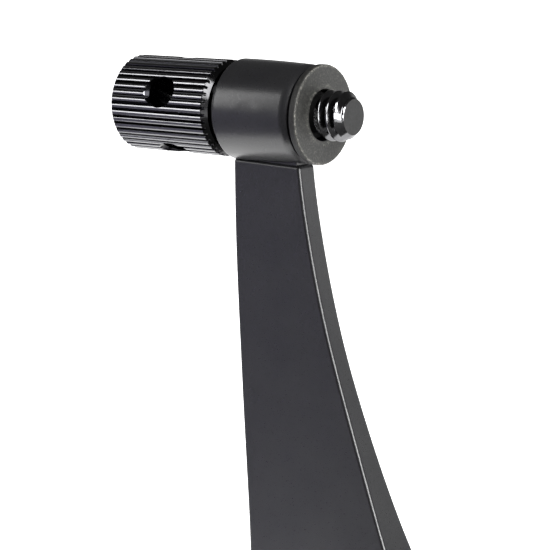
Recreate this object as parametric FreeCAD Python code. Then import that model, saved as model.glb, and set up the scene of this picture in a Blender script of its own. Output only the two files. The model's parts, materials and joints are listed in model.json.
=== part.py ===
"""Binocular-to-tripod bracket: a curved upright arm with a foot at its base and a bored boss on top,
through which a captive 1/4 inch thumb screw turns and slides.

Row frame, in millimetres: the origin is the centre of the tripod socket's mouth, on the plane that the
foot rests on. +Z is up, and +X is the way the clamp screw points. Everything round on the screw's axis
is drawn first in "screw" coordinates, where x is measured forwards from the boss's front face, and the
arm's outlines are drawn in the same coordinates, with z measured up from the screw's axis.
"""

import math
import os

import FreeCAD
import Part

V = FreeCAD.Vector

# ---- driving dimensions ------------------------------------------------------------------------
AXIS_HEIGHT = 85.0          # the screw's axis above the resting plane
BOSS_FRONT_X = -15.0        # the boss's front face, forward of the tripod socket

# clamp screw, 1/4 inch - 20 UNC
SCREW_R = 6.35 / 2          # thread's major radius
SHANK_R = 2.5               # plain shank behind the thread, and the knob's spigot
SCREW_TIP_X = 5.8
SCREW_TIP_R = 2.25
NECK_R = 2.45               # relief behind the thread
NECK_X = (0.3, 1.0)
COLLAR_R = 3.0
COLLAR_REAR_X = -1.7        # meets the bush when the captive screw is drawn back 5 mm
SHANK_REAR_X = -18.0

# boss
BOSS_LENGTH = 11.6
BOSS_R = 6.55
BOSS_MIDDLE = (-6.5, 6.49)  # the side is a slow arc through this point
BOSS_RIM = ((-1.35, 6.3), (-0.75, 6.19), (-0.25, 5.94))    # softened front rim, an arc through these
BOSS_LAND_R = 5.4           # the low land that the friction washer sits on, which leaves a groove
BOSS_REAR_ROUND = 0.25
BUSH_R = 4.0                # bore of the boss, and outside of the bush
BUSH_LENGTH = 4.6
BUSH_CLEARANCE = 0.06
FRONT_BORE_R = 3.5
FRONT_BORE_LENGTH = 3.0

# friction washer on the land in front of the boss
PAD_WASHER_X = 0.3          # its rear face, where the land ends
PAD_WASHER_R = 6.35
PAD_WASHER_BORE_R = 3.3
PAD_WASHER_THICKNESS = 0.98
PAD_WASHER_ROUND = 0.2

# thrust washer between the boss and the knob
THRUST_R = 5.6
THRUST_BORE_R = SHANK_R + 0.08
THRUST_THICKNESS = 0.75
THRUST_GAP = 0.05

# knob
KNOB_R = 6.3
KNURL_DEPTH = 0.34
KNURL_COUNT = 42
KNURL_CREST_SHARE = 0.54    # share of the pitch that is crest
KNURL_ROOT_SHARE = 0.10     # share of the pitch that is the flat root of a groove
KNOB_REAR_X = -29.2
KNURL_FRONT_X = -13.0       # front end of the knurled barrel, chamfer included
KNOB_REAR_CHAMFER = 0.5
KNOB_FRONT_CHAMFER = 0.7
HUB_R = 5.1
TOMMY_R = 2.0               # cross holes for a bar
TOMMY_X = -20.9
TOMMY_CHAMFER = 0.2
TOMMY_ANGLE = 21.0          # degrees above horizontal, on the -Y side
END_DISH_R = 4.4
END_DISH_DEPTH = 0.5

# grub screw, M3
GRUB_R = 1.5
GRUB_X = -15.4
GRUB_ANGLE = 156.0
GRUB_INNER = 2.2            # radial place of its flat end, on a flat of the shank
GRUB_OUTER = 5.0
GRUB_SOCKET_AF = 1.5
GRUB_SOCKET_DEPTH = 1.2

# arm; its outlines are (x, z) points, and the flare's are (half thickness, z)
ARM_ROOT_Z = -79.5          # the arm is drawn down into the foot to here
ARM_HALF_THICKNESS = 1.68
TONGUE_HALF = 1.35
TONGUE_X = (-11.2, -2.0)
TONGUE_TOP_Z = -5.3
TONGUE_ROOT_Z = -8.0
EDGE_ROUND = 0.45
ARM_FRONT = ((-1.35, -6.55), (0.6, -17.9), (3.3, -28.4), (6.84, -38.8), (10.86, -49.2),
             (15.0, -58.3), (20.3, -66.4), (27.0, -73.2), (35.0, ARM_ROOT_Z))
ARM_REAR = ((-7.2, ARM_ROOT_Z), (-8.15, -60.0), (-9.32, -50.0), (-10.48, -39.0), (-11.34, -26.0),
            (-11.92, -6.22))
ARM_FLARE = ((ARM_HALF_THICKNESS, -27.0), (1.74, -34.0), (2.08, -44.0), (2.74, -53.5), (3.8, -64.0),
             (6.1, ARM_ROOT_Z))

# foot
FOOT_TOP_Z = -76.0
FOOT_BOTTOM_Z = -84.0
FOOT_HALF_WIDTH = 10.0
HEEL_X = -8.0
NOSE_X = 39.0
HEEL_CORNER = 4.0
NOSE_CORNER = 8.0
FOOT_TOP_ROUND = 1.0
FOOT_BOTTOM_ROUND = 0.4

# tripod insert and pad; the socket's mouth is the row's origin
SOCKET_X = -BOSS_FRONT_X
REST_Z = -AXIS_HEIGHT
SOCKET_R = 2.55             # minor radius of the 1/4 inch - 20 thread
INSERT_R = 4.8
INSERT_LENGTH = 9.0
INSERT_FLANGE_R = 5.8
INSERT_HOLE_TOP_Z = -74.0
PAD_INSET = 1.0
PAD_HOLE_R = 6.2


# ---- helpers -----------------------------------------------------------------------------------
def to_row(shape):
    """Moves a shape from screw coordinates to the row frame."""
    moved = shape.copy()
    moved.translate(V(BOSS_FRONT_X, 0, AXIS_HEIGHT))
    return moved


def turned(profile):
    """A solid of revolution about the screw's axis, from edges or (x, r) points in the XZ plane."""
    if isinstance(profile[0], tuple):
        points = [V(x, 0, r) for x, r in profile]
        wire = Part.makePolygon(points + points[:1])
    else:
        wire = Part.Wire(profile)
    return Part.Face(wire).revolve(V(0, 0, 0), V(1, 0, 0), 360)


def line(a, b):
    """A straight edge between two (x, r) points in the XZ plane."""
    return Part.LineSegment(V(a[0], 0, a[1]), V(b[0], 0, b[1])).toShape()


def quarter(a, b, centre):
    """A circular edge from a to b about centre, the short way, all (x, r) in the XZ plane."""
    radius = math.dist(a, centre)
    mid = ((a[0] + b[0]) / 2 - centre[0], (a[1] + b[1]) / 2 - centre[1])
    scale = radius / math.hypot(*mid)
    on_arc = V(centre[0] + mid[0] * scale, 0, centre[1] + mid[1] * scale)
    return Part.Arc(V(a[0], 0, a[1]), on_arc, V(b[0], 0, b[1])).toShape()


def along_x(x0, x1, radius):
    """A cylinder on the screw's axis."""
    return Part.makeCylinder(radius, x1 - x0, V(x0, 0, 0), V(1, 0, 0))


def radial(angle):
    """Unit vector out from the screw's axis; angle 0 points along -Y and 90 along +Z."""
    a = math.radians(angle)
    return V(0, -math.cos(a), math.sin(a))


def spline(points, start_tangent=None, end_tangent=None):
    """A smooth edge through points in the XZ or YZ plane."""
    curve = Part.BSplineCurve()
    if start_tangent is None:
        curve.interpolate(points)
    else:
        curve.interpolate(Points=points, InitialTangent=start_tangent, FinalTangent=end_tangent)
    return curve.toShape()


def save(shape, node):
    """Writes one sub-part, moved to the row frame, after checking that it is a sound solid."""
    placed = to_row(shape)
    if not placed.isValid() or placed.Volume <= 0 or not placed.Solids:
        raise RuntimeError(node + " is not a sound solid")
    if placed.ShapeType != "Solid" and len(placed.Solids) == 1:
        placed = placed.Solids[0]
    placed.exportStep(os.path.join("parts", node + ".step"))
    print(node, "volume", round(placed.Volume, 1), "faces", len(placed.Faces))


# ---- parts on the screw's axis -----------------------------------------------------------------
def boss_barrel():
    rear, rim = -BOSS_LENGTH, BOSS_REAR_ROUND
    side = [V(x, 0, r) for x, r in ((rear + rim, BOSS_R), BOSS_MIDDLE, BOSS_RIM[0])]
    front_rim = [V(x, 0, r) for x, r in BOSS_RIM]
    shoulder_x = BOSS_RIM[-1][0]
    outline = [
        line((rear, BUSH_R), (rear, BOSS_R - rim)),
        quarter((rear, BOSS_R - rim), (rear + rim, BOSS_R), (rear + rim, BOSS_R - rim)),
        Part.Arc(*side).toShape(),
        Part.Arc(*front_rim).toShape(),
        line(BOSS_RIM[-1], (shoulder_x, BOSS_LAND_R)),
        line((shoulder_x, BOSS_LAND_R), (PAD_WASHER_X, BOSS_LAND_R)),
        line((PAD_WASHER_X, BOSS_LAND_R), (PAD_WASHER_X, FRONT_BORE_R)),
        line((PAD_WASHER_X, FRONT_BORE_R), (-FRONT_BORE_LENGTH, FRONT_BORE_R)),
        line((-FRONT_BORE_LENGTH, FRONT_BORE_R), (-FRONT_BORE_LENGTH, BUSH_R)),
        line((-FRONT_BORE_LENGTH, BUSH_R), (rear, BUSH_R)),
    ]
    return turned(outline).cut(tongue()).cut(arm_blank())


def tongue():
    """The tongue on the arm's top, which is let into a slot in the boss."""
    x0, x1 = TONGUE_X
    return Part.makeBox(x1 - x0, 2 * TONGUE_HALF, TONGUE_TOP_Z - TONGUE_ROOT_Z,
                        V(x0, -TONGUE_HALF, TONGUE_ROOT_Z))


def shank_bush():
    rear, front = -BOSS_LENGTH, -BOSS_LENGTH + BUSH_LENGTH
    return turned([
        (rear, SHANK_R + BUSH_CLEARANCE),
        (rear, BUSH_R),
        (front, BUSH_R),
        (front, SHANK_R + BUSH_CLEARANCE),
    ])


def rubber_washer():
    rear, r, s = PAD_WASHER_X, PAD_WASHER_R, PAD_WASHER_ROUND
    front = rear + PAD_WASHER_THICKNESS
    outline = [
        line((rear, PAD_WASHER_BORE_R), (rear, r - s)),
        quarter((rear, r - s), (rear + s, r), (rear + s, r - s)),
        line((rear + s, r), (front - s, r)),
        quarter((front - s, r), (front, r - s), (front - s, r - s)),
        line((front, r - s), (front, PAD_WASHER_BORE_R)),
        line((front, PAD_WASHER_BORE_R), (rear, PAD_WASHER_BORE_R)),
    ]
    return turned(outline)


def thrust_washer():
    front = -BOSS_LENGTH - THRUST_GAP
    rear = front - THRUST_THICKNESS
    return turned([(rear, THRUST_BORE_R), (rear, THRUST_R), (front, THRUST_R), (front, THRUST_BORE_R)])


def clamp_stud():
    """The screw, its thread drawn as the plain cylinder of its major diameter."""
    tip_slope = SCREW_R - SCREW_TIP_R
    body = turned([
        (SHANK_REAR_X, 0),
        (SHANK_REAR_X, SHANK_R),
        (COLLAR_REAR_X, SHANK_R),
        (COLLAR_REAR_X, COLLAR_R),
        (NECK_X[0], COLLAR_R),
        (NECK_X[0], NECK_R),
        (NECK_X[1], NECK_R),
        (NECK_X[1] + (SCREW_R - NECK_R) / 2, SCREW_R),
        (SCREW_TIP_X - tip_slope, SCREW_R),
        (SCREW_TIP_X, SCREW_TIP_R),
        (SCREW_TIP_X, 0),
    ])
    return body.cut(grub_cylinder(GRUB_R + 0.4, GRUB_INNER, SHANK_R + 1.0))


def grub_cylinder(radius, inner, outer):
    """A cylinder on the grub screw's radial axis, between two distances from the screw's axis."""
    out = radial(GRUB_ANGLE)
    return Part.makeCylinder(radius, outer - inner, V(GRUB_X, 0, 0) + out * inner, out)


def knurled_prism(x0, x1):
    """The knob's barrel section, with straight ridges, drawn along the screw's axis."""
    pitch = 2 * math.pi / KNURL_COUNT
    crest = pitch * KNURL_CREST_SHARE / 2
    root = pitch * KNURL_ROOT_SHARE / 2
    low = KNOB_R - KNURL_DEPTH

    def at(radius, angle):
        return V(x0, radius * math.sin(angle), radius * math.cos(angle))

    edges = []
    for i in range(KNURL_COUNT):
        a = i * pitch
        b = a + pitch / 2
        crest_from, crest_to = at(KNOB_R, a - crest), at(KNOB_R, a + crest)
        root_from, root_to = at(low, b - root), at(low, b + root)
        next_crest = at(KNOB_R, a + pitch - crest)
        edges.append(Part.Arc(crest_from, at(KNOB_R, a), crest_to).toShape())
        edges.append(Part.LineSegment(crest_to, root_from).toShape())
        edges.append(Part.LineSegment(root_from, root_to).toShape())
        edges.append(Part.LineSegment(root_to, next_crest).toShape())
    return Part.Face(Part.Wire(edges)).extrude(V(x1 - x0, 0, 0))


def tommy_cutter(angle):
    """A cross hole right through the knob, with a small chamfer at both mouths."""
    out = radial(angle)
    centre = V(TOMMY_X, 0, 0)
    reach = KNOB_R + 1.0
    cutter = Part.makeCylinder(TOMMY_R, 2 * reach, centre - out * reach, out)
    for way in (out, out * -1):
        mouth = Part.makeCone(TOMMY_R, TOMMY_R + TOMMY_CHAMFER + 1.0, TOMMY_CHAMFER + 1.0,
                              centre + way * (KNOB_R - 0.35 - TOMMY_CHAMFER), way)
        cutter = cutter.fuse(mouth)
    return cutter


def thumb_knob():
    hub_face = -BOSS_LENGTH - THRUST_THICKNESS - 2 * THRUST_GAP
    rear, front = KNOB_REAR_X, KNURL_FRONT_X
    envelope = turned([
        (rear, 0),
        (rear, KNOB_R - KNOB_REAR_CHAMFER),
        (rear + KNOB_REAR_CHAMFER, KNOB_R + 0.01),
        (front - KNOB_FRONT_CHAMFER, KNOB_R + 0.01),
        (front, KNOB_R - KNOB_FRONT_CHAMFER),
        (front, 0),
    ])
    body = knurled_prism(rear, front).common(envelope)
    body = body.fuse(along_x(front - 1.0, hub_face, HUB_R))
    body = body.cut(along_x(SHANK_REAR_X, hub_face + 1.0, SHANK_R))
    body = body.cut(turned([
        (rear - 1.0, 0),
        (rear - 1.0, END_DISH_R + 1.0),
        (rear + END_DISH_DEPTH, END_DISH_R - 0.5),
        (rear + END_DISH_DEPTH, 0),
    ]))
    for angle in (TOMMY_ANGLE, TOMMY_ANGLE - 90):
        body = body.cut(tommy_cutter(angle))
    return body.cut(grub_cylinder(GRUB_R, GRUB_INNER - 0.1, KNOB_R + 1.0))


def grub_screw():
    out = radial(GRUB_ANGLE)
    body = grub_cylinder(GRUB_R, GRUB_INNER, GRUB_OUTER)
    corner_r = GRUB_SOCKET_AF / math.sqrt(3)
    side = out.cross(V(1, 0, 0))
    mouth = V(GRUB_X, 0, 0) + out * (GRUB_OUTER + 0.1)
    corners = []
    for k in range(6):
        a = k * math.pi / 3
        corners.append(mouth + V(1, 0, 0) * (corner_r * math.cos(a)) + side * (corner_r * math.sin(a)))
    socket = Part.Face(Part.makePolygon(corners + corners[:1])).extrude(out * -(GRUB_SOCKET_DEPTH + 0.1))
    return body.cut(socket)


# ---- arm, foot and what is in the foot -----------------------------------------------------------
def side_outline():
    """The arm seen from the side, as a face in the XZ plane, from the ledge down into the foot."""
    front = [V(x, 0, z) for x, z in ARM_FRONT]
    rear = [V(x, 0, z) for x, z in ARM_REAR]
    edges = [
        Part.LineSegment(rear[-1], front[0]).toShape(),
        spline(front, V(0.11, 0, -1), V(1, 0, -0.75)),
        Part.LineSegment(front[-1], rear[0]).toShape(),
        spline(rear, V(-0.02, 0, 1), V(-0.005, 0, 1)),
    ]
    return Part.Face(Part.Wire(edges))


def end_outline():
    """The arm seen from the front, as a face in the YZ plane: thin above, flared below."""
    top = [V(0, sign * ARM_HALF_THICKNESS, 0) for sign in (-1, 1)]
    edges = [Part.LineSegment(top[1], top[0]).toShape()]
    feet = []
    for sign, start in zip((-1, 1), top):
        points = [V(0, sign * y, z) for y, z in ARM_FLARE]
        edges.append(Part.LineSegment(start, points[0]).toShape())
        edges.append(spline(points, V(0, 0, -1), V(0, sign * 0.22, -1)))
        feet.append(points[-1])
    edges.append(Part.LineSegment(*feet).toShape())
    return Part.Face(Part.Wire(Part.__sortEdges__(edges)))


def upright_edges(shape, centre_x, heel):
    """The vertical edges of a prism, at the heel or at the nose."""
    chosen = []
    for edge in shape.Edges:
        a, b = edge.Vertexes[0].Point, edge.Vertexes[-1].Point
        if abs(a.z - b.z) > 1e-3 and (a.x < centre_x) == heel:
            chosen.append(edge)
    return chosen


def foot_prism(inset, z0, z1):
    """The foot's rounded outline seen from above, drawn in by inset, as a prism."""
    corner = V(HEEL_X + inset, inset - FOOT_HALF_WIDTH, z0)
    body = Part.makeBox(NOSE_X - HEEL_X - 2 * inset, 2 * (FOOT_HALF_WIDTH - inset), z1 - z0, corner)
    middle = (HEEL_X + NOSE_X) / 2
    body = body.makeFillet(NOSE_CORNER - inset, upright_edges(body, middle, False))
    return body.makeFillet(HEEL_CORNER - inset, upright_edges(body, middle, True))


def edges_at(shape, z):
    """The edges of a shape that lie wholly in one level plane."""
    box_tests = [(e, e.BoundBox) for e in shape.Edges]
    return [e for e, box in box_tests if abs(box.ZMin - z) < 1e-3 and abs(box.ZMax - z) < 1e-3]


def arm_blank():
    """The arm before its edges are rounded; its top is also the shape of the seat cut in the boss."""
    side = side_outline().extrude(V(0, 2 * FOOT_HALF_WIDTH, 0))
    side.translate(V(0, -FOOT_HALF_WIDTH, 0))
    end = end_outline().extrude(V(2 * NOSE_X, 0, 0))
    end.translate(V(-NOSE_X, 0, 0))
    return side.common(end)


def bracket_arm():
    """The arm and foot in one piece, with the tongue on top and the hole for the tripod insert."""
    arm = arm_blank()
    root = arm.BoundBox.ZMin
    above_root = [e for e in arm.Edges if e.BoundBox.ZMax > root + 0.01]
    rims = [e for e in above_root if e.BoundBox.YMin * e.BoundBox.YMax > 0 or e.BoundBox.ZMin > -8]
    arm = arm.makeFillet(EDGE_ROUND, rims)
    foot = foot_prism(0, FOOT_BOTTOM_Z, FOOT_TOP_Z)
    foot = foot.makeFillet(FOOT_TOP_ROUND, edges_at(foot, FOOT_TOP_Z))
    foot = foot.makeFillet(FOOT_BOTTOM_ROUND, edges_at(foot, FOOT_BOTTOM_Z))
    body = arm.fuse(foot).fuse(tongue()).removeSplitter()
    return body.cut(upright(INSERT_R, FOOT_BOTTOM_Z - 1, INSERT_HOLE_TOP_Z))


def upright(radius, z0, z1):
    """A vertical cylinder on the tripod socket's axis."""
    return Part.makeCylinder(radius, z1 - z0, V(SOCKET_X, 0, z0))


def tripod_insert():
    """Flanged insert, its 1/4 inch thread drawn as a plain bore of the minor diameter."""
    body = upright(INSERT_R, REST_Z, REST_Z + INSERT_LENGTH)
    body = body.fuse(upright(INSERT_FLANGE_R, REST_Z, FOOT_BOTTOM_Z)).removeSplitter()
    return body.cut(upright(SOCKET_R, REST_Z - 1, REST_Z + INSERT_LENGTH + 1))


def foot_pad():
    """The pad under the foot, with a hole that clears the insert's flange."""
    pad = foot_prism(PAD_INSET, REST_Z, FOOT_BOTTOM_Z)
    return pad.cut(upright(PAD_HOLE_R, REST_Z - 1, FOOT_BOTTOM_Z + 1))


def main():
    os.makedirs("parts", exist_ok=True)
    save(boss_barrel(), "boss_barrel")
    save(shank_bush(), "shank_bush")
    save(rubber_washer(), "rubber_washer")
    save(thrust_washer(), "thrust_washer")
    save(clamp_stud(), "clamp_stud")
    save(thumb_knob(), "thumb_knob")
    save(grub_screw(), "grub_screw")
    save(bracket_arm(), "bracket_arm")
    save(tripod_insert(), "tripod_insert")
    save(foot_pad(), "foot_pad")


main()
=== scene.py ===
"""The looks of the binocular tripod adapter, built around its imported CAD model.

Everything is in metres in the CAD's row frame: +Z up, +X the way the clamp screw points, and the origin at
the mouth of the tripod socket. Sizes are written in millimetres and turned to metres by MM.
"""

import json
import math

import bmesh
import bpy
from mathutils import Matrix, Vector


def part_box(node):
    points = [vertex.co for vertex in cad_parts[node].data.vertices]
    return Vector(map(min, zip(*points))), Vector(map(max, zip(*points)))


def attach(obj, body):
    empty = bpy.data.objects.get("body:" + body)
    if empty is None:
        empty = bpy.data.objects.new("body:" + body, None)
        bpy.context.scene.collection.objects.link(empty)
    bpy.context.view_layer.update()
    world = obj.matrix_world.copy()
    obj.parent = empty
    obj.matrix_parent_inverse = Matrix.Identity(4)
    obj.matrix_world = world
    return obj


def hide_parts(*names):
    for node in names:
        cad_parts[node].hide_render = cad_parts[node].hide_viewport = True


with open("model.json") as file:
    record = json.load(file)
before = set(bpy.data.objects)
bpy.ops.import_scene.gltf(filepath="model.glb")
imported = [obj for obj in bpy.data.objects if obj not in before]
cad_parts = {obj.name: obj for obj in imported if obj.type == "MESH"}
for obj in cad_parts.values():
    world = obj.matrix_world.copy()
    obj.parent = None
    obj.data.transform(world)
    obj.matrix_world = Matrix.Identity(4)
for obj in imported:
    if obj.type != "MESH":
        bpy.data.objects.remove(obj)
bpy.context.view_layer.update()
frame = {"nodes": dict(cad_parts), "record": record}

MM = 0.001
nodes = frame["nodes"]
mounts = {m["name"]: m for m in frame["record"]["mounts"]}

# ---- places taken from the frame ---------------------------------------------------------------
SCREW_AXIS_Z = mounts["clamp_screw"]["pos_m"][2]
STUD_REAR, STUD_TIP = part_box("clamp_stud")[0].x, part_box("clamp_stud")[1].x
WASHER_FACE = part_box("rubber_washer")[1].x
WASHER_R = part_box("rubber_washer")[1].y
KNOB_REAR, KNOB_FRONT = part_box("thumb_knob")[0].x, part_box("thumb_knob")[1].x
KNOB_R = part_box("thumb_knob")[1].z - SCREW_AXIS_Z
INSERT_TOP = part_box("tripod_insert")[1].z
INSERT_FLANGE_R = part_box("tripod_insert")[1].x

# ---- sizes of what is drawn here ----------------------------------------------------------------
PITCH = 1.27 * MM                       # 1/4 inch - 20 thread
THREAD_DEPTH = 0.613 * PITCH
SCREW_R = mounts["clamp_screw"]["dims"]["r_mm"] * MM
SHANK_R = 2.5 * MM
TIP_R = 2.25 * MM
THREAD_REAR = STUD_TIP - 4.45 * MM
NECK_REAR = STUD_TIP - 5.5 * MM
COLLAR_REAR = STUD_TIP - 7.5 * MM
COLLAR_R = 3.0 * MM
SOCKET_R = mounts["tripod_socket"]["dims"]["r_mm"] * MM
INSERT_R = 4.8 * MM
INSERT_FLANGE = 1.0 * MM
WASHER_BORE_R = 3.3 * MM

KNURL_COUNT = 42
KNURL_DEPTH = 0.34 * MM
KNURL_FRONT = KNOB_REAR + 16.2 * MM
REAR_CHAMFER = 0.5 * MM
FRONT_CHAMFER = 0.7 * MM
HUB_R = 5.1 * MM
DISH_R = 3.9 * MM
DISH_DEPTH = 0.5 * MM
TOMMY_R = mounts["tommy_bore_upper"]["dims"]["r_mm"] * MM
GRUB_HOLE_R = 1.5 * MM

THREAD_PHASE = 0.91                     # turns; where the clamp screw's crests stand round its axis
THREAD_STEPS = 144                      # columns round a thread
LATHE_STEPS = 144
WELD = 0.0002 * MM                      # points closer than this become one

# Half of one turn of the thread, from the middle of the root to the middle of the crest:
# (share of the pitch, share of the depth)
THREAD_FORM = (
    (0.0, 0.0), (0.06, 0.0), (0.095, 0.04), (0.13, 0.13), (0.40, 0.90), (0.425, 0.965), (0.455, 1.0),
)

# ---- light and camera ------------------------------------------------------------------------------
# Azimuths and elevations are in degrees, seen from LIT_POINT: azimuth 0 is -Y and 90 is +X.
LIT_POINT = Vector((WASHER_FACE - 1.3 * MM, 0, SCREW_AXIS_Z))
FLOOR_GLOW = 1.8
WORLD_STOPS = ((0.0, 0.62), (0.2, 0.6), (0.36, 0.09))       # (height of the direction, grey)

# name, azimuth, elevation, distance, width, height, radiance
SOFTBOXES = (
    ("front_left_box", -44, 22, 0.6, 0.10, 0.32, 7.0),
    ("key_box", 62, 33, 0.6, 0.19, 0.34, 20.0),
    ("low_strip", 67, 4, 0.25, 0.12, 0.085, 14.0),
)

FLAG_NEAR, FLAG_FAR = 0.30, 0.36        # where the flags' floor ends and where their wall stands
FLAG_FLOOR = 0.001                      # height of the flags above the floor
# name, azimuths, (distance, height) points of the section, colour
FLAGS = (
    ("low_flag", (-100, -24), ((0.10, FLAG_FLOOR), (FLAG_FAR, FLAG_FLOOR), (FLAG_FAR, 0.115)),
     (0.50, 0.485, 0.60)),
    ("front_flag", (-24, 42), ((0.05, FLAG_FLOOR), (FLAG_FAR, FLAG_FLOOR), (FLAG_FAR, 0.50)),
     (0.02, 0.02, 0.02)),
    ("near_flag", (42, 112), ((0.012, FLAG_FLOOR), (FLAG_NEAR, FLAG_FLOOR)),
     (0.12, 0.12, 0.12)),
    ("right_flag", (78, 112), ((FLAG_NEAR, FLAG_FLOOR), (FLAG_FAR, FLAG_FLOOR), (FLAG_FAR, 0.13)),
     (0.12, 0.12, 0.12)),
)

CAMERA_AZIMUTH = 36.789
CAMERA_ELEVATION = 10.638
CAMERA_DISTANCE = 239.2 * MM
CAMERA_TARGET = Vector((-16.89, -6.07, 65.13)) * MM
CAMERA_LENS = 124.36


# ---- mesh helpers --------------------------------------------------------------------------------
def on_screw(x, r, angle):
    """A point at radius r about the screw's axis; angle 0 is +Y and 90 degrees is +Z."""
    return Vector((x, r * math.cos(angle), SCREW_AXIS_Z + r * math.sin(angle)))


def on_socket(z, r, angle):
    """A point at radius r about the tripod socket's axis; angle 0 is +X and 90 degrees is +Y."""
    return Vector((r * math.cos(angle), r * math.sin(angle), z))


def add_grid(bm, columns, wrap=True):
    """Quads over columns of points; with wrap the last column joins the first."""
    grid = [[bm.verts.new(p) for p in column] for column in columns]
    following = grid[1:] + grid[:1] if wrap else grid[1:]
    for a, b in zip(grid, following):
        for i in range(len(a) - 1):
            bm.faces.new((a[i], a[i + 1], b[i + 1], b[i]))


def add_lathe(bm, place, profile, steps=LATHE_STEPS):
    """A surface of revolution from (along, radius) points; place() turns them into space."""
    columns = []
    for j in range(steps):
        angle = 2 * math.pi * j / steps
        columns.append([place(s, r, angle) for s, r in profile])
    add_grid(bm, columns)


def add_thread(bm, place, start, end, radius_at, phase=0.0):
    """A helical wall from start to end; radius_at(s, height) gives its radius, with height from 0 to 1.

    phase turns the thread, in turns.
    """
    form = list(THREAD_FORM) + [(1 - f, h) for f, h in reversed(THREAD_FORM[1:])]
    turns = math.ceil((end - start) / PITCH) + 1
    rows = [(turn + f, h) for turn in range(-1, turns) for f, h in form]
    columns = []
    for j in range(THREAD_STEPS + 1):
        angle = 2 * math.pi * j / THREAD_STEPS
        column = []
        for f, h in rows:
            s = min(max(start + PITCH * (f + phase + j / THREAD_STEPS), start), end)
            column.append(place(s, radius_at(s, h), angle))
        columns.append(column)
    add_grid(bm, columns, wrap=False)


def close_ends(bm):
    """Welds rings that coincide and caps every open ring."""
    bmesh.ops.remove_doubles(bm, verts=bm.verts, dist=WELD)
    bmesh.ops.dissolve_degenerate(bm, edges=bm.edges, dist=WELD)
    rims = [e for e in bm.edges if e.is_boundary]
    if rims:
        bmesh.ops.holes_fill(bm, edges=rims, sides=0)
    bmesh.ops.recalc_face_normals(bm, faces=bm.faces)


def to_object(name, bm, sharp_angle=32.0):
    """Turns a bmesh into a smooth-shaded object whose edges stay sharp above an angle in degrees."""
    mesh = bpy.data.meshes.new(name)
    bm.to_mesh(mesh)
    bm.free()
    for polygon in mesh.polygons:
        polygon.use_smooth = True
    mesh.set_sharp_from_angle(angle=math.radians(sharp_angle))
    obj = bpy.data.objects.new(name, mesh)
    bpy.context.scene.collection.objects.link(obj)
    return obj


def apply_modifiers(obj):
    """Applies an object's modifiers to its mesh."""
    graph = bpy.context.evaluated_depsgraph_get()
    mesh = bpy.data.meshes.new_from_object(obj.evaluated_get(graph))
    obj.modifiers.clear()
    obj.data = mesh


def cut_with(obj, cutters):
    """Cuts obj with other objects, which are then removed."""
    for cutter in cutters:
        modifier = obj.modifiers.new("cut", "BOOLEAN")
        modifier.operation = "DIFFERENCE"
        modifier.solver = "EXACT"
        modifier.object = cutter
        apply_modifiers(obj)
        bpy.data.objects.remove(cutter)


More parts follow.
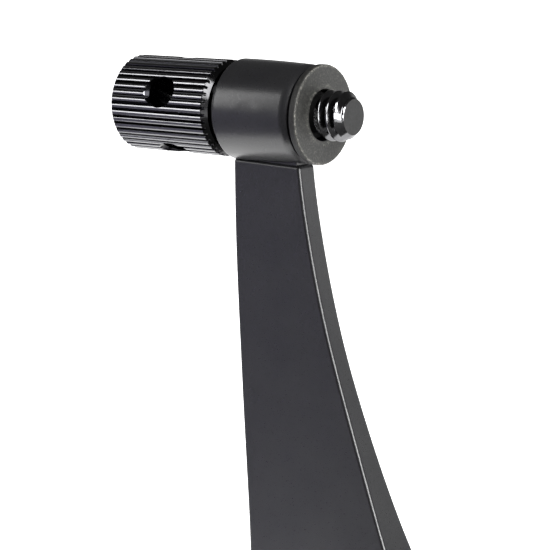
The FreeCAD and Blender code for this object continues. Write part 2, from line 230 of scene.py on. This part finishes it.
# ---- materials -----------------------------------------------------------------------------------
class Surface:
    """A Principled material with a few shorthand calls for its procedural nodes."""

    def __init__(self, name, metallic=0.0, roughness=0.5):
        self.material = bpy.data.materials.new(name)
        self.material.use_nodes = True
        self.tree = self.material.node_tree
        self.shader = next(n for n in self.tree.nodes if n.type == "BSDF_PRINCIPLED")
        self.shader.inputs["Metallic"].default_value = metallic
        self.shader.inputs["Roughness"].default_value = roughness
        self.where = self.tree.nodes.new("ShaderNodeTexCoord").outputs["Object"]

    def link(self, a, b):
        self.tree.links.new(a, b)

    def noise(self, size, detail=3.0, stretch=(1, 1, 1), rough=0.55):
        """Noise whose features are about size metres across; stretch lengthens them along each axis."""
        mapping = self.tree.nodes.new("ShaderNodeMapping")
        mapping.inputs["Scale"].default_value = [1 / (size * s) for s in stretch]
        self.link(self.where, mapping.inputs["Vector"])
        node = self.tree.nodes.new("ShaderNodeTexNoise")
        node.inputs["Scale"].default_value = 1.0
        node.inputs["Detail"].default_value = detail
        node.inputs["Roughness"].default_value = rough
        self.link(mapping.outputs["Vector"], node.inputs["Vector"])
        return node.outputs["Fac"]

    def from_screw_axis(self):
        """Distance from the screw's axis."""
        mapping = self.tree.nodes.new("ShaderNodeMapping")
        mapping.inputs["Location"].default_value = (0, 0, -SCREW_AXIS_Z)
        mapping.inputs["Scale"].default_value = (0, 1, 1)
        self.link(self.where, mapping.inputs["Vector"])
        node = self.tree.nodes.new("ShaderNodeVectorMath")
        node.operation = "LENGTH"
        self.link(mapping.outputs["Vector"], node.inputs[0])
        return node.outputs["Value"]

    def from_ring(self, x, radius):
        """Distance from a ring about the screw's axis."""
        split = self.tree.nodes.new("ShaderNodeSeparateXYZ")
        self.link(self.where, split.inputs["Vector"])
        along = self.math("SUBTRACT", split.outputs["X"], x)
        out = self.math("SUBTRACT", self.from_screw_axis(), radius)
        total = self.math("ADD", self.math("MULTIPLY", along, along), self.math("MULTIPLY", out, out))
        return self.math("SQRT", total)

    def math(self, operation, *values):
        """A maths node over sockets and plain numbers."""
        node = self.tree.nodes.new("ShaderNodeMath")
        node.operation = operation
        for socket, value in zip(node.inputs, values):
            if isinstance(value, (int, float)):
                socket.default_value = value
            else:
                self.link(value, socket)
        return node.outputs["Value"]

    def add(self, a, b):
        return self.math("ADD", a, b)

    def mix(self, a, b, share):
        """The value a with a share of b mixed in."""
        node = self.tree.nodes.new("ShaderNodeMix")
        node.inputs[0].default_value = share
        self.link(a, node.inputs[2])
        self.link(b, node.inputs[3])
        return node.outputs[0]

    def rings(self, axis, size):
        """Turning marks: fine rings about an axis through the object's origin."""
        node = self.tree.nodes.new("ShaderNodeTexWave")
        node.wave_type = "RINGS"
        node.rings_direction = axis
        node.inputs["Scale"].default_value = 1 / (size * 20)
        node.inputs["Distortion"].default_value = 0.4
        self.link(self.where, node.inputs["Vector"])
        return node.outputs["Fac"]

    def span(self, fac, low, high, from_low=0.3, from_high=0.7):
        """A value from low to high as fac goes over the stated span."""
        node = self.tree.nodes.new("ShaderNodeMapRange")
        node.inputs["From Min"].default_value = from_low
        node.inputs["From Max"].default_value = from_high
        node.inputs["To Min"].default_value = low
        node.inputs["To Max"].default_value = high
        self.link(fac, node.inputs["Value"])
        return node.outputs["Result"]

    def colour(self, fac, *stops):
        """A colour ramp over fac, from (position, (r, g, b)) stops, into the base colour."""
        node = self.tree.nodes.new("ShaderNodeValToRGB")
        ramp = node.color_ramp
        while len(ramp.elements) < len(stops):
            ramp.elements.new(0.5)
        for element, (position, rgb) in zip(ramp.elements, stops):
            element.position = position
            element.color = (*rgb, 1)
        self.link(fac, node.inputs["Fac"])
        self.link(node.outputs["Color"], self.shader.inputs["Base Color"])

    def rough(self, value):
        self.link(value, self.shader.inputs["Roughness"])

    def bump(self, *layers):
        """Stacks bump layers, each (height, depth in metres)."""
        normal = None
        for height, depth in layers:
            node = self.tree.nodes.new("ShaderNodeBump")
            node.inputs["Strength"].default_value = 1.0
            node.inputs["Distance"].default_value = depth
            self.link(height, node.inputs["Height"])
            if normal is not None:
                self.link(normal, node.inputs["Normal"])
            normal = node.outputs["Normal"]
        self.link(normal, self.shader.inputs["Normal"])


def powder_coat():
    s = Surface("powder_coat_satin_black", roughness=0.4)
    blotch = s.noise(6 * MM, detail=2.0)
    grain = s.noise(0.16 * MM, detail=2.0)
    peel = s.noise(0.6 * MM, detail=1.0)
    s.colour(blotch, (0.35, (0.0095, 0.0095, 0.011)), (0.65, (0.0125, 0.0125, 0.0135)))
    s.rough(s.span(grain, 0.27, 0.34))
    s.shader.inputs["IOR"].default_value = 1.6
    s.bump((peel, 0.0055 * MM), (grain, 0.0015 * MM))
    return s.material


def black_chrome():
    s = Surface("black_chrome_knurl", metallic=1.0, roughness=0.14)
    # Painted shade and wear: the crests are lighter, as if burnished by wear, and everything below them
    # turns near-black as painted shade. This darkens the knurl's grooves, the tommy holes, the rear dish
    # and the chamfers.
    crest = s.span(s.from_screw_axis(), 0.0, 1.0, KNOB_R - 0.13 * MM, KNOB_R - 0.05 * MM)
    film = s.noise(3 * MM, detail=2.0)
    streaks = s.noise(0.12 * MM, detail=2.0, stretch=(14, 1, 1))
    s.colour(s.mix(crest, film, 0.2), (0.15, (0.009, 0.009, 0.010)), (0.85, (0.15, 0.15, 0.155)))
    s.rough(s.span(streaks, 0.10, 0.18))
    s.bump((streaks, 0.0012 * MM))
    return s.material


def black_gloss():
    s = Surface("black_gloss_collar", metallic=1.0, roughness=0.12)
    s.colour(s.noise(1.0 * MM), (0.3, (0.026, 0.026, 0.027)), (0.7, (0.036, 0.036, 0.037)))
    s.rough(s.span(s.noise(0.2 * MM), 0.10, 0.18))
    s.bump((s.noise(0.2 * MM, detail=2.0), 0.001 * MM))
    return s.material


def black_steel():
    s = Surface("black_plated_steel", metallic=1.0, roughness=0.12)
    film = s.noise(1.2 * MM, detail=3.0)
    s.colour(film, (0.3, (0.10, 0.10, 0.103)), (0.7, (0.14, 0.14, 0.143)))
    s.rough(s.span(s.noise(0.3 * MM), 0.08, 0.16))
    s.bump((s.noise(0.25 * MM, detail=2.0), 0.0004 * MM))
    return s.material


def cut_steel():
    s = Surface("black_steel_cut_face", metallic=0.0, roughness=0.5)
    s.colour(s.noise(0.5 * MM), (0.3, (0.012, 0.012, 0.012)), (0.7, (0.020, 0.020, 0.020)))
    s.rough(s.span(s.noise(0.2 * MM), 0.38, 0.55))
    s.shader.inputs["Specular IOR Level"].default_value = 0.25
    s.bump((s.noise(0.18 * MM, stretch=(1, 6, 1)), 0.003 * MM))
    return s.material


# Painted shade: a near-black, almost unreflecting coat that stands for the shade on the stud's neck, collar
# and shank inside the washer's bore.
def neck_in_painted_shade():
    s = Surface("painted_shade_neck", roughness=0.7)
    s.colour(s.noise(0.4 * MM), (0.3, (0.004, 0.004, 0.004)), (0.7, (0.008, 0.008, 0.008)))
    s.rough(s.span(s.noise(0.2 * MM), 0.6, 0.8))
    s.shader.inputs["Specular IOR Level"].default_value = 0.12
    s.bump((s.noise(0.2 * MM), 0.002 * MM))
    return s.material


def washer_rubber():
    """Matt rubber with dusty flecks, thickest along the outer edge of the front face and round the bore,
    where a painted highlight lifts them; painted shade darkens the outer wall.
    """
    s = Surface("washer_rubber", roughness=0.6)
    grain = s.noise(0.45 * MM, detail=4.0, rough=0.75)
    flecks = s.noise(0.24 * MM, detail=2.0, rough=0.8)
    # Painted highlight: a lighter ring along the rounded outer edge of the front face.
    painted_rim_highlight = s.span(s.from_ring(WASHER_FACE - 0.05 * MM, WASHER_R - 0.10 * MM), 0.17, 0.0, 0.0, 0.34 * MM)
    # Painted highlight: a lighter ring round the mouth of the bore.
    bore = s.span(s.from_ring(WASHER_FACE, WASHER_BORE_R + 0.35 * MM), 0.09, 0.0, 0.0, 0.4 * MM)
    # Painted shade: darker towards the outer wall of the washer.
    painted_side_shade = s.span(s.from_screw_axis(), 0.0, -0.08, WASHER_R - 0.12 * MM, WASHER_R - 0.03 * MM)
    flecks_and_painted_light = s.add(s.add(s.mix(grain, flecks, 0.5), painted_side_shade), s.add(painted_rim_highlight, bore))
    s.colour(flecks_and_painted_light, (0.42, (0.010, 0.010, 0.009)), (0.54, (0.026, 0.026, 0.024)),
             (0.63, (0.050, 0.050, 0.044)), (0.72, (0.20, 0.19, 0.17)))
    s.rough(s.span(grain, 0.5, 0.7))
    s.bump((grain, 0.012 * MM), (s.noise(1.5 * MM), 0.01 * MM))
    return s.material


def pad_rubber():
    s = Surface("foot_pad_rubber", roughness=0.7)
    grain = s.noise(0.3 * MM, detail=4.0, rough=0.7)
    s.colour(grain, (0.35, (0.018, 0.018, 0.018)), (0.7, (0.034, 0.034, 0.033)))
    s.rough(s.span(grain, 0.6, 0.85))
    s.bump((grain, 0.015 * MM))
    return s.material


def acetal():
    s = Surface("black_acetal", roughness=0.4)
    grain = s.noise(0.2 * MM)
    s.colour(grain, (0.3, (0.006, 0.006, 0.006)), (0.7, (0.010, 0.010, 0.010)))
    s.rough(s.span(grain, 0.35, 0.5))
    s.bump((grain, 0.001 * MM))
    return s.material


def bronze():
    s = Surface("sintered_bronze", metallic=1.0, roughness=0.4)
    pores = s.noise(0.12 * MM, detail=4.0)
    s.colour(pores, (0.38, (0.12, 0.07, 0.03)), (0.5, (0.52, 0.34, 0.16)), (0.7, (0.60, 0.41, 0.20)))
    s.rough(s.span(pores, 0.5, 0.3))
    s.bump((pores, 0.004 * MM))
    return s.material


def turned_steel():
    s = Surface("turned_stainless", metallic=1.0, roughness=0.3)
    marks = s.rings("Z", 0.08 * MM)
    s.colour(s.noise(1.5 * MM), (0.3, (0.50, 0.50, 0.51)), (0.7, (0.62, 0.62, 0.63)))
    s.rough(s.span(marks, 0.22, 0.36, 0.0, 1.0))
    s.bump((marks, 0.0015 * MM))
    return s.material


# ---- pieces --------------------------------------------------------------------------------------
def threaded_stud():
    """The clamp screw: a real right-handed thread, a chamfered tip, a neck, a collar and a plain shank."""
    bm = bmesh.new()
    root_r = SCREW_R - THREAD_DEPTH

    def radius(s, height):
        full = SCREW_R - THREAD_DEPTH * (1 - height)
        tip_cone = TIP_R + (STUD_TIP - s)
        start_cone = root_r + 1.6 * (s - THREAD_REAR)
        return min(full, tip_cone, start_cone)

    add_thread(bm, on_screw, THREAD_REAR, STUD_TIP, radius, THREAD_PHASE)
    bevel = 0.1 * MM
    add_lathe(bm, on_screw, (
        (THREAD_REAR, root_r), (NECK_REAR, root_r), (NECK_REAR, COLLAR_R - bevel),
        (NECK_REAR - bevel, COLLAR_R), (COLLAR_REAR + bevel, COLLAR_R), (COLLAR_REAR, COLLAR_R - bevel),
        (COLLAR_REAR, SHANK_R), (STUD_REAR, SHANK_R),
    ))
    close_ends(bm)
    obj = to_object("clamp_stud_threaded", bm)
    obj.data.materials.append(black_steel())
    obj.data.materials.append(cut_steel())
    obj.data.materials.append(neck_in_painted_shade())
    for polygon in obj.data.polygons:
        if polygon.normal.x > 0.95 and polygon.center.x > STUD_TIP - 0.01 * MM:
            polygon.material_index = 1
        # Painted shade: behind the thread the stud takes the near-black coat for the shade inside the
        # washer's bore.
        if polygon.center.x < THREAD_REAR:
            polygon.material_index = 2
    return obj


def knurl_section():
    """One ridge of the knurl and the groove after it: (share of the pitch, depth below the crest)."""
    half = 0.27                         # of the pitch, to where the rounded crest meets the groove's flank
    crest = [(half * k / 6, 0.07 * MM * (k / 6) ** 2) for k in range(-6, 7)]
    corner = KNURL_DEPTH * 0.88         # the groove's floor has softened corners
    return crest + [(0.41, corner), (0.45, KNURL_DEPTH), (0.55, KNURL_DEPTH), (0.59, corner)]


def knurled_knob():
    """The thumb knob: a straight-knurled barrel with chamfered ends, a plain hub and a dished outer end."""
    fine = [0.0, 0.08, 0.2, 0.35, 0.5, 0.65, 0.8, 0.92, 1.0, 1.08, 1.2]
    rows = [KNOB_REAR + REAR_CHAMFER * f for f in fine]
    start, end = rows[-1], KNURL_FRONT - 1.2 * FRONT_CHAMFER
    rows += [start + (end - start) * i / 24 for i in range(1, 24)]
    rows += [KNURL_FRONT - FRONT_CHAMFER * f for f in reversed(fine)]

    def barrel(x, depth):
        rear_cone = KNOB_R - REAR_CHAMFER + x - KNOB_REAR
        front_cone = KNOB_R - FRONT_CHAMFER + KNURL_FRONT - x
        return min(KNOB_R - depth, rear_cone, front_cone)

    section = knurl_section()
    pitch = 2 * math.pi / KNURL_COUNT
    columns = []
    for ridge in range(KNURL_COUNT):
        for share, depth in section:
            angle = (ridge + share) * pitch
            column = [on_screw(KNOB_REAR + DISH_DEPTH, 0.02 * MM, angle)]
            column += [on_screw(KNOB_REAR + DISH_DEPTH, DISH_R - 0.3 * MM, angle)]
            column += [on_screw(KNOB_REAR + 0.05 * MM, DISH_R + 0.15 * MM, angle)]
            column += [on_screw(KNOB_REAR, DISH_R + 0.3 * MM, angle)]
            column += [on_screw(x, barrel(x, depth), angle) for x in rows]
            column += [on_screw(KNURL_FRONT, HUB_R, angle), on_screw(KNOB_FRONT, HUB_R, angle)]
            column += [on_screw(KNOB_FRONT, SHANK_R, angle)]
            columns.append(column)
    bm = bmesh.new()
    add_grid(bm, columns)
    close_ends(bm)
    obj = to_object("thumb_knob_knurled", bm)
    cut_with(obj, [tommy_cutter("tommy_bore_upper"), tommy_cutter("tommy_bore_lower"), grub_cutter()])
    for polygon in obj.data.polygons:
        polygon.use_smooth = True
    obj.data.set_sharp_from_angle(angle=math.radians(28))
    obj.data.materials.clear()
    obj.data.materials.append(black_chrome())
    obj.data.materials.append(black_gloss())
    for polygon in obj.data.polygons:
        if polygon.center.x > KNURL_FRONT - 0.98 * FRONT_CHAMFER:
            polygon.material_index = 1
    return obj


def lathe_about(name, origin, direction, profile, steps=96):
    """A closed solid of revolution about any axis, from (along, radius) points."""
    turn = Vector(direction).to_track_quat("Z", "Y").to_matrix().to_4x4()
    place = Matrix.Translation(origin) @ turn

    def point(s, r, angle):
        return place @ Vector((r * math.cos(angle), r * math.sin(angle), s))

    bm = bmesh.new()
    add_lathe(bm, point, profile, steps)
    close_ends(bm)
    return to_object(name, bm)


def tommy_cutter(mount):
    """A cross hole right through the knob with a countersink at each mouth."""
    reach, sink = KNOB_R + 1.0 * MM, KNOB_R - 0.55 * MM
    wide = TOMMY_R + reach - sink
    profile = ((-reach, wide), (-sink, TOMMY_R), (sink, TOMMY_R), (reach, wide))
    return lathe_about("cutter", mounts[mount]["pos_m"], mounts[mount]["axis"], profile)


def grub_cutter():
    """The grub screw's hole, from its place in the CAD."""
    low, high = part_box("grub_screw")
    centre = (low + high) / 2
    out = Vector((0, centre.y, centre.z - SCREW_AXIS_Z)).normalized()
    origin = Vector((centre.x, 0, SCREW_AXIS_Z))
    profile = (
        (SHANK_R, GRUB_HOLE_R), (KNOB_R - 0.4 * MM, GRUB_HOLE_R), (KNOB_R + 1 * MM, GRUB_HOLE_R + 0.7 * MM),
    )
    return lathe_about("cutter", origin, out, profile, 64)


def threaded_insert():
    """The flanged tripod insert with a real internal thread."""
    bm = bmesh.new()

    def radius(s, height):
        wall = SOCKET_R + THREAD_DEPTH * 0.85 * (1 - height)
        mouth = SOCKET_R + THREAD_DEPTH - s
        top = SOCKET_R + (INSERT_TOP - s)
        return max(mouth, min(wall, top))

    add_thread(bm, on_socket, 0.0, INSERT_TOP, radius)
    bevel = 0.12 * MM
    add_lathe(bm, on_socket, (
        (0.0, SOCKET_R + THREAD_DEPTH), (0.0, INSERT_FLANGE_R - bevel), (bevel, INSERT_FLANGE_R),
        (INSERT_FLANGE - bevel, INSERT_FLANGE_R), (INSERT_FLANGE, INSERT_FLANGE_R - bevel),
        (INSERT_FLANGE, INSERT_R), (INSERT_TOP, INSERT_R), (INSERT_TOP, SOCKET_R),
    ))
    close_ends(bm)
    obj = to_object("tripod_insert_threaded", bm)
    obj.data.materials.append(turned_steel())
    return obj


def dress(node, material):
    """Gives a CAD node a better material."""
    mesh = nodes[node].data
    mesh.materials.clear()
    mesh.materials.append(material)


coat = powder_coat()
for node in ("bracket_arm", "boss_barrel"):
    dress(node, coat)
dress("rubber_washer", washer_rubber())
dress("foot_pad", pad_rubber())
dress("thrust_washer", acetal())
dress("shank_bush", bronze())
dress("grub_screw", black_steel())

for piece, node, body, slot in (
    (threaded_stud(), "clamp_stud", "thumbscrew", "black_steel"),
    (knurled_knob(), "thumb_knob", "thumbscrew", "black_chrome"),
    (threaded_insert(), "tripod_insert", "bracket", "steel"),
):
    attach(piece, body)
    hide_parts(node)


# ---- floor, light and camera ---------------------------------------------------------------------
def direction(azimuth, elevation):
    """Unit vector from the object; azimuth 0 is -Y, 90 is +X."""
    a, e = math.radians(azimuth), math.radians(elevation)
    return Vector((math.sin(a) * math.cos(e), -math.cos(a) * math.cos(e), math.sin(e)))


def pale_floor():
    bm = bmesh.new()
    bmesh.ops.create_circle(bm, cap_ends=True, radius=4.0, segments=96)
    floor = to_object("floor", bm)
    s = Surface("pale_floor", roughness=0.9)
    s.colour(s.noise(0.3, detail=2.0), (0.3, (0.86, 0.86, 0.86)), (0.7, (0.89, 0.89, 0.89)))
    s.shader.inputs["Emission Color"].default_value = (1, 1, 1, 1)
    s.shader.inputs["Emission Strength"].default_value = FLOOR_GLOW
    s.shader.inputs["Specular IOR Level"].default_value = 0.1
    floor.data.materials.append(s.material)


def softbox(name, azimuth, elevation, distance, width, height, radiance):
    """A rectangular area light that faces the boss."""
    light = bpy.data.lights.new(name, "AREA")
    light.shape = "RECTANGLE"
    light.size = width
    light.size_y = height
    light.energy = radiance * math.pi * width * height
    obj = bpy.data.objects.new(name, light)
    out = direction(azimuth, elevation)
    obj.location = LIT_POINT + out * distance
    obj.rotation_euler = out.to_track_quat("Z", "Y").to_euler()
    bpy.context.scene.collection.objects.link(obj)


def flag(name, azimuths, section, colour, steps=12):
    """A curved card round the object that only shows in reflections.

    section is (distance, height) points, from the inner edge outwards.
    """
    bm = bmesh.new()
    foot = Vector((LIT_POINT.x, LIT_POINT.y, 0))
    up = Vector((0, 0, 1))
    columns = []
    for i in range(steps + 1):
        out = direction(azimuths[0] + (azimuths[1] - azimuths[0]) * i / steps, 0)
        columns.append([foot + out * distance + up * height for distance, height in section])
    add_grid(bm, columns, wrap=False)
    card = to_object(name, bm)
    s = Surface(name, roughness=1.0)
    s.colour(s.noise(0.1), (0.3, colour), (0.7, [c * 1.1 for c in colour]))
    card.data.materials.append(s.material)
    card.visible_camera = False
    card.visible_shadow = False


def studio_world():
    """Pale near the horizon, darker overhead."""
    world = bpy.data.worlds.new("studio")
    world.use_nodes = True
    tree = world.node_tree
    background = next(n for n in tree.nodes if n.type == "BACKGROUND")
    where = tree.nodes.new("ShaderNodeTexCoord").outputs["Generated"]
    split = tree.nodes.new("ShaderNodeSeparateXYZ")
    ramp = tree.nodes.new("ShaderNodeValToRGB")
    elements = ramp.color_ramp.elements
    elements.new(0.5)
    for element, (position, value) in zip(elements, WORLD_STOPS):
        element.position = position
        element.color = (value, value, value, 1)
    tree.links.new(where, split.inputs["Vector"])
    tree.links.new(split.outputs["Z"], ramp.inputs["Fac"])
    tree.links.new(ramp.outputs["Color"], background.inputs["Color"])
    bpy.context.scene.world = world


def camera():
    data = bpy.data.cameras.new("camera")
    data.sensor_width = 36.0
    data.lens = CAMERA_LENS
    data.clip_start = 0.01
    data.clip_end = 20.0
    obj = bpy.data.objects.new("camera", data)
    back = direction(CAMERA_AZIMUTH, CAMERA_ELEVATION)
    obj.location = CAMERA_TARGET + back * CAMERA_DISTANCE
    obj.rotation_euler = back.to_track_quat("Z", "Y").to_euler()
    bpy.context.scene.collection.objects.link(obj)
    bpy.context.scene.camera = obj


pale_floor()
studio_world()
for box in SOFTBOXES:
    softbox(*box)
for card in FLAGS:
    flag(*card)
camera()
bpy.context.scene.view_settings.view_transform = "Standard"
